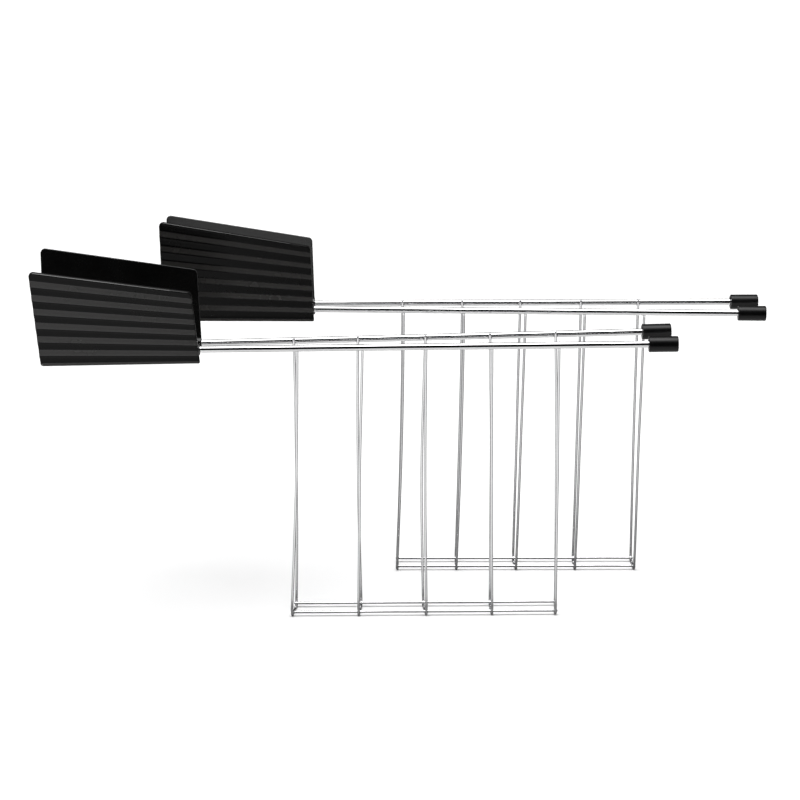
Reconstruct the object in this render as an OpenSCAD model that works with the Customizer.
// Pair of long-handled wire toast racks, standing side by side.
// Each rack is a sprung wire basket hung from two round rods, with a
// two-wing clothes-peg handle at one end and soft tip caps at the other.
// +X runs along the rods towards the tip caps, +Z is up, -Y is the near side.
// The origin is on the table, under the middle of rack 1's basket.

/* [Wire] */
// Diameter of the two carrying rods
rod_d = 3.3; // [2.8:0.1:3.8]
// Diameter of the thin basket wire
wire_d = 1.3; // [1.0:0.1:1.6]
// Depth by which welded wires sink into each other
weld_depth = 0.12; // [0.05:0.01:0.2]

/* [Basket] */
// Width of the basket's foot, wire centre to wire centre
foot_w = 17; // [14:0.5:24]
// Spacing of the U wires on rack 1
pitch_1 = 33; // [28:0.5:36]
// Spacing of the U wires on rack 2
pitch_2 = 31.7; // [28:0.1:36]
// Centre-line radius of a U wire's two bottom bends
bend_r = 2; // [1.8:0.1:3]
// Height of the line about which the legs flex
flex_z = 4; // [3.8:0.1:6]
// Gap left in each leg at its flex line
flex_gap = 0.2; // [0.1:0.05:0.4]
// How far the bottom rails run past the end U wires
rail_over = 0.9; // [0.5:0.1:2]
// Height of the centre of a leg's rounded end above the rod's axis
leg_over = 0.75; // [0.4:0.05:1]

/* [Rods] */
// Height of rack 1's rods above the table, at mid basket
rod_z_1 = 140.5; // [120:0.5:150]
// Height of rack 2's rods above the table, at mid basket
rod_z_2 = 142.8; // [120:0.1:150]
// Half the spacing of rack 1's rods, at mid basket
rod_y_1 = 10.7; // [10.5:0.1:14]
// Half the spacing of rack 2's rods, at mid basket
rod_y_2 = 11; // [10.5:0.1:14]
// Sideways run of each rod per millimetre of its length
splay = 0.032; // [0.02:0.001:0.032]
// Upward run of rack 1's rods per millimetre
rise_1 = 0.0148; // [-0.02:0.0002:0.02]
// Upward run of rack 2's rods per millimetre
rise_2 = -0.0038; // [-0.02:0.0002:0.02]
// Distance from mid basket to the capped end of the rods
rod_tip = 122.6; // [115:0.1:130]
// Distance from mid basket to the handle end of the rods
rod_tail = 173.6; // [160:0.1:180]

/* [Tip caps] */
// Outer diameter of a tip cap
cap_d = 7.8; // [6.5:0.1:9]
// Length of a tip cap
cap_len = 14.5; // [10:0.1:18]
// Radius of a tip cap's edges
cap_edge = 0.55; // [0.2:0.05:1]
// Distance from mid basket to the end face of a tip cap
cap_end = 124.3; // [124:0.1:132]

/* [Handle wings] */
// Distance from mid basket to the wing's inner end
wing_x0 = 111; // [100:0.1:115]
// Length of a wing
wing_len = 78.7; // [60:0.1:80]
// Height of a wing at its inner end
wing_h0 = 41.5; // [34:0.5:50]
// Height of a wing at its outer end
wing_h1 = 54.3; // [40:0.1:60]
// Distance from the rod's axis down to the wing's bottom edge
wing_drop = 4.8; // [4.5:0.1:8]
// Distance from the rod's axis out to the crests of the ribbing
wing_out = 6; // [5.6:0.1:8]
// Thickness of the wing's wall between the crests
wing_t = 1.5; // [1.4:0.1:2.2]
// Height of the ribbing on the outer face
rib_h = 0.7; // [0.3:0.1:1]
// Number of ribs on the outer face
rib_n = 7; // [5:1:9]
// Radius of the wing's top corners
wing_corner = 2.4; // [1:0.1:4]
// Radius of the wing's lower outer corner
heel_corner = 1.5; // [0.6:0.1:3]
// Radius of the wing's lower inner corner, beside the rod
toe_corner = 0.6; // [0.4:0.1:2]
// Outer diameter of the tube that turns on the rod
boss_d = 5.8; // [5.6:0.1:6.6]
// Radial running clearance between the tube and the rod
run_clear = 0.05; // [0.03:0.01:0.08]
// Half the angle between the two wings when the rack is relaxed
vee_half = 16.8; // [15:0.1:18]
// Height above the rods at which the wings bear on each other
knuckle_z = 12; // [10:0.5:13]
// Outward lean of rack 1's near wing
lean_near_1 = 21.8; // [15:0.1:24]
// Outward lean of rack 1's far wing
lean_far_1 = 11.8; // [9:0.1:16]
// Outward lean of rack 2's near wing
lean_near_2 = 9.8; // [8:0.1:16]
// Outward lean of rack 2's far wing
lean_far_2 = 24; // [15:0.1:26]

/* [Placing of rack 2] */
// Distance of rack 2 along the rods from rack 1
place_x = 55.3; // [0:0.1:80]
// Distance of rack 2 behind rack 1
place_y = 73.5; // [70:0.1:120]
// Turn of rack 2 about the vertical
place_turn = -0.82; // [-3:0.01:3]

/* [Hidden] */

near = -1;
far = 1;
round_fn = 40;
fine_fn = 64;
rod_r = rod_d / 2;
wire_r = wire_d / 2;
cap_r = cap_d / 2;

// Values that differ between the two racks, index 0 for rack 1.
rod_z = [rod_z_1, rod_z_2];
rod_y = [rod_y_1, rod_y_2];
rise = [rise_1, rise_2];
pitch = [pitch_1, pitch_2];
// Offset of the basket along the rods.
basket_x = [0, -2];
// Offset of the feet along the rods from the legs' tops.
foot_x = [0.6, -2];
// Shift of the near rod's welds, and scale of their spacing, against the far rod's.
near_weld_x = [1, 0];
near_weld_scale = [0.985, 1];

// Centre of a U wire's far bottom bend.
bend_y = foot_w / 2 - bend_r;
bend_z = wire_r + bend_r;

// Head and swaged collar of a rod, as length and height above the rod's surface.
head_len = 1.2;
head_h = 0.95;
collar_len = 1;
collar_h = 0.4;

// Tube that turns on the rod, and the recess in it for the collar.
boss_x0 = wing_x0 - 0.5;
boss_x1 = rod_tail - head_len - 0.4;
collar_x = boss_x0 + 0.3;
recess_h = 0.5;
recess_end_gap = 0.3;

// Depth by which a tip cap grips the rod, and overshoot of cutting shapes.
cap_grip = 0.01;
cut_over = 1;

// Outer face of the wing's wall, and the face inside it where the webs end.
wall_y = wing_out - rib_h;
web_y = wall_y - 1;
// How far the wing's bottom edge dips towards its outer end.
heel_dip = 0.6;

knuckle_x = wing_x0 + 0.39 * wing_len;
knuckle_r = 2;
knuckle_len = 8;
knuckle_gap = 0.25;
knuckle_web_t = 2;

// --- places ---------------------------------------------------------------

// Distance of U wire i (0 to 4, counted from the handle) from the middle one.
function wire_offset(rack, i) = (i - 2) * pitch[rack];

// Lengthwise place of U wire i at its foot, and at its weld on a rod.
function foot_pos(rack, i) = basket_x[rack] + foot_x[rack] + wire_offset(rack, i);
function weld_pos(rack, i, side) =
  basket_x[rack] + (side == far
    ? wire_offset(rack, i)
    : near_weld_x[rack] + wire_offset(rack, i) * near_weld_scale[rack]);

// A point on the far rod's axis at lengthwise place x.
function rod_point(rack, x) =
  [x, rod_y[rack] + splay * x, rod_z[rack] + rise[rack] * x / cos(atan(splay))];

// --- outlines -------------------------------------------------------------

function arc(centre, r, start, end, steps) =
  [for (j = [0:steps])
    let (angle = start + (end - start) * j / steps)
    centre + r * [cos(angle), sin(angle)]];

// Arc that rounds a corner of an anticlockwise outline.
function round_corner(before, corner, after, r) =
  let (
    back = (before - corner) / norm(before - corner),
    ahead = (after - corner) / norm(after - corner),
    angle = acos(back * ahead),
    centre = corner + (back + ahead) / norm(back + ahead) * (r / sin(angle / 2)),
    spoke = corner + back * (r / tan(angle / 2)) - centre,
    start = atan2(spoke[1], spoke[0])
  )
  arc(centre, r, start, start + 180 - angle, 8);

// Side view of a wing, anticlockwise, from its lower inner corner: [x, z].
// The top corners lie 1.4 and 0.4 further out than the bottom ones.
wing_corners = [
  [-wing_x0, -wing_drop],
  [-wing_x0 - 1.4, wing_h0 - wing_drop],
  [-wing_x0 - wing_len - 0.4, wing_h1 - wing_drop],
  [-wing_x0 - wing_len, -wing_drop - heel_dip]
];
wing_radii = [toe_corner, wing_corner, wing_corner, heel_corner];
wing_outline = [
  for (j = [0:3])
    each round_corner(wing_corners[(j + 3) % 4], wing_corners[j],
                      wing_corners[(j + 1) % 4], wing_radii[j])
];

// --- helpers --------------------------------------------------------------

module place(rack) {
  if (rack == 0) children();
  else translate([place_x, place_y, 0]) rotate([0, 0, place_turn]) children();
}

// Shapes are written for the far side; the near side is their mirror image.
module at_side(side) {
  if (side == near) mirror([0, 1, 0]) children();
  else children();
}

// Frame whose X axis is the axis of one rod.
module on_rod(rack, side) {
  place(rack) at_side(side)
    translate([0, rod_y[rack], rod_z[rack]])
      rotate([0, -atan(rise[rack]), atan(splay)])
        children();
}

module along_x(x0, x1, r) {
  translate([x0, 0, 0]) rotate([0, 90, 0]) cylinder(h = x1 - x0, r = r, $fn = round_fn);
}

// Straight wire standing on the origin.
module wire(length) {
  cylinder(h = length, r = wire_r, $fn = round_fn);
}

// Box between two opposite corners.
module block(low, high) {
  translate(low) cube(high - low);
}

// --- pieces ---------------------------------------------------------------

// Bottom rail: nests in the corners of the five U wires.
module rail(rack, side) {
  // Offset of the rail from the bends' centres, in Y and in Z.
  offset_yz = (bend_r - wire_d + weld_depth * 0.7) * cos(45);
  color([0.78, 0.78, 0.8]) place(rack) at_side(side)
    translate([0, bend_y + offset_yz, bend_z - offset_yz])
      along_x(foot_pos(rack, 0) - rail_over, foot_pos(rack, 4) + rail_over, wire_r);
}

// Foot of a U wire: a cross bar, two bends and two short risers.
module u_base(rack, i) {
  color([0.82, 0.82, 0.84]) place(rack) translate([foot_pos(rack, i), 0, 0]) {
    translate([0, bend_y, wire_r]) rotate([90, 0, 0]) wire(2 * bend_y);
    for (side = [near, far]) at_side(side) {
      translate([0, bend_y, bend_z]) rotate([90, 0, 90]) rotate([0, 0, -90])
        rotate_extrude(angle = 90, $fn = fine_fn)
          translate([bend_r, 0]) circle(r = wire_r, $fn = round_fn);
      translate([0, foot_w / 2, bend_z]) wire(flex_z - flex_gap / 2 - bend_z);
    }
  }
}

// Leg of a U wire: from its flex line up to the weld on the rod's inner side,
// where it ends in a rounded tip.
module leg(rack, i, side) {
  weld = rod_point(rack, weld_pos(rack, i, side));
  bottom = [foot_pos(rack, i), foot_w / 2, flex_z];
  top = weld + [0, weld_depth - rod_r - wire_r, leg_over];
  run = top - bottom;
  length = norm(run);
  color([0.86, 0.86, 0.88]) place(rack) at_side(side)
    translate(bottom) rotate([0, acos(run[2] / length), atan2(run[1], run[0])])
      rotate_extrude($fn = round_fn) polygon(concat(
        [[0, flex_gap / 2], [wire_r, flex_gap / 2]],
        arc([0, length], wire_r, 0, 90, 6)));
}

// Rod: headed at the handle end, with a swaged collar that keeps the wing on.
module rod(rack, side) {
  color([0.75, 0.76, 0.78]) on_rod(rack, side) union() {
    along_x(-rod_tail, rod_tip, rod_r);
    along_x(-rod_tail, -rod_tail + head_len, rod_r + head_h);
    along_x(-collar_x - collar_len, -collar_x, rod_r + collar_h);
  }
}

// Soft push-on cap with a blind hole that ends at the rod's tip.
module tip_cap(rack, side) {
  edge_r = cap_r - cap_edge;
  color([0.08, 0.08, 0.09]) on_rod(rack, side)
    translate([cap_end - cap_len, 0, 0]) rotate([0, 90, 0]) difference() {
      rotate_extrude($fn = fine_fn) polygon(concat(
        [[0, 0]],
        arc([edge_r, cap_edge], cap_edge, -90, 0, 6),
        arc([edge_r, cap_len - cap_edge], cap_edge, 0, 90, 6),
        [[0, cap_len]]));
      translate([0, 0, -cut_over])
        cylinder(h = rod_tip - cap_end + cap_len + cut_over, r = rod_r - cap_grip, $fn = round_fn);
    }
}

// One rib of the outer face, number j from the bottom. The ribs fan out, as
// the wing is taller at its outer end. Rib -1 has its crest just below the
// bottom edge and leaves the edge flared.
module rib(j) {
  fraction = (j + 0.82) / (rib_n - 0.175);
  inner_z = -wing_drop + fraction * wing_h0;
  outer_z = -wing_drop - heel_dip + fraction * (wing_h1 + heel_dip);
  half_w = wing_h0 / rib_n * 0.44;
  root_y = wall_y - 0.5;
  shoulder_y = wing_out - rib_h * 0.2;
  end_over = 6;
  translate([-wing_x0 - wing_len, 0, outer_z])
    rotate([0, atan((outer_z - inner_z) / wing_len), 0]) rotate([90, 0, 90])
      translate([0, 0, -end_over]) linear_extrude(wing_len + 2 * end_over)
        polygon([
          [root_y, -half_w * 1.3], [shoulder_y, -half_w * 0.35], [wing_out, 0],
          [shoulder_y, half_w * 0.35], [root_y, half_w * 1.3]
        ]);
}

// Slab with the wing's outline, from its outer face at y inwards.
module wing_slab(y, thickness) {
  translate([0, y, 0]) rotate([90, 0, 0]) linear_extrude(thickness) polygon(wing_outline);
}

// Handle wing: a ribbed plate moulded with a tube that turns on the rod, and
// a knuckle above the rod that bears on the other wing when squeezed.
module wing(rack, side, lean) {
  // Knuckle's axis beside the rack's middle plane, turned into the wing's frame.
  bearing_y = -(rod_y[rack] - splay * knuckle_x - knuckle_r - knuckle_gap);
  axis_y = bearing_y * cos(vee_half) - knuckle_z * sin(vee_half);
  axis_z = bearing_y * sin(vee_half) + knuckle_z * cos(vee_half);
  half_len = knuckle_len / 2;
  arm_half = half_len - 0.6;
  half_t = knuckle_web_t / 2;
  color([0.13, 0.13, 0.13]) on_rod(rack, side) rotate([-lean, 0, 0]) difference() {
    union() {
      wing_slab(wall_y, wing_t);
      intersection() {
        wing_slab(wing_out + 1, 4);
        union() for (j = [-1:rib_n - 1]) rib(j);
      }
      along_x(-boss_x1, -boss_x0, boss_d / 2);
      // Web from the tube to the wall.
      block([-boss_x1 + 0.6, 0.5, -1.4], [-wing_x0 - 0.4, web_y, 1.4]);
      // Arm from the knuckle to the wall.
      block([-knuckle_x - arm_half, axis_y, axis_z - half_t],
            [-knuckle_x + arm_half, web_y, axis_z + half_t]);
      translate([0, axis_y, axis_z])
        along_x(-knuckle_x - half_len, -knuckle_x + half_len, knuckle_r);
      // Upright web between the tube and the arm.
      block([-knuckle_x - half_t, -1, 2], [-knuckle_x + half_t, web_y, axis_z]);
    }
    along_x(-boss_x1 - cut_over, -boss_x0 + cut_over, rod_r + run_clear);
    along_x(-collar_x - collar_len - recess_end_gap, -boss_x0 + cut_over, rod_r + recess_h);
  }
}

// --- the set --------------------------------------------------------------

rail(0, near);  // rack1_near_rail
rail(0, far);  // rack1_far_rail
u_base(0, 0);  // rack1_u_wire_1_base
u_base(0, 1);  // rack1_u_wire_2_base
u_base(0, 2);  // rack1_u_wire_3_base
u_base(0, 3);  // rack1_u_wire_4_base
u_base(0, 4);  // rack1_u_wire_5_base
leg(0, 0, near);  // rack1_near_leg_1
leg(0, 1, near);  // rack1_near_leg_2
leg(0, 2, near);  // rack1_near_leg_3
leg(0, 3, near);  // rack1_near_leg_4
leg(0, 4, near);  // rack1_near_leg_5
leg(0, 0, far);  // rack1_far_leg_1
leg(0, 1, far);  // rack1_far_leg_2
leg(0, 2, far);  // rack1_far_leg_3
leg(0, 3, far);  // rack1_far_leg_4
leg(0, 4, far);  // rack1_far_leg_5
rod(0, near);  // rack1_near_rod
rod(0, far);  // rack1_far_rod
tip_cap(0, near);  // rack1_near_tip_cap
tip_cap(0, far);  // rack1_far_tip_cap
wing(0, near, lean_near_1);  // rack1_near_wing
wing(0, far, lean_far_1);  // rack1_far_wing
rail(1, near);  // rack2_near_rail
rail(1, far);  // rack2_far_rail
u_base(1, 0);  // rack2_u_wire_1_base
u_base(1, 1);  // rack2_u_wire_2_base
u_base(1, 2);  // rack2_u_wire_3_base
u_base(1, 3);  // rack2_u_wire_4_base
u_base(1, 4);  // rack2_u_wire_5_base
leg(1, 0, near);  // rack2_near_leg_1
leg(1, 1, near);  // rack2_near_leg_2
leg(1, 2, near);  // rack2_near_leg_3
leg(1, 3, near);  // rack2_near_leg_4
leg(1, 4, near);  // rack2_near_leg_5
leg(1, 0, far);  // rack2_far_leg_1
leg(1, 1, far);  // rack2_far_leg_2
leg(1, 2, far);  // rack2_far_leg_3
leg(1, 3, far);  // rack2_far_leg_4
leg(1, 4, far);  // rack2_far_leg_5
rod(1, near);  // rack2_near_rod
rod(1, far);  // rack2_far_rod
tip_cap(1, near);  // rack2_near_tip_cap
tip_cap(1, far);  // rack2_far_tip_cap
wing(1, near, lean_near_2);  // rack2_near_wing
wing(1, far, lean_far_2);  // rack2_far_wing
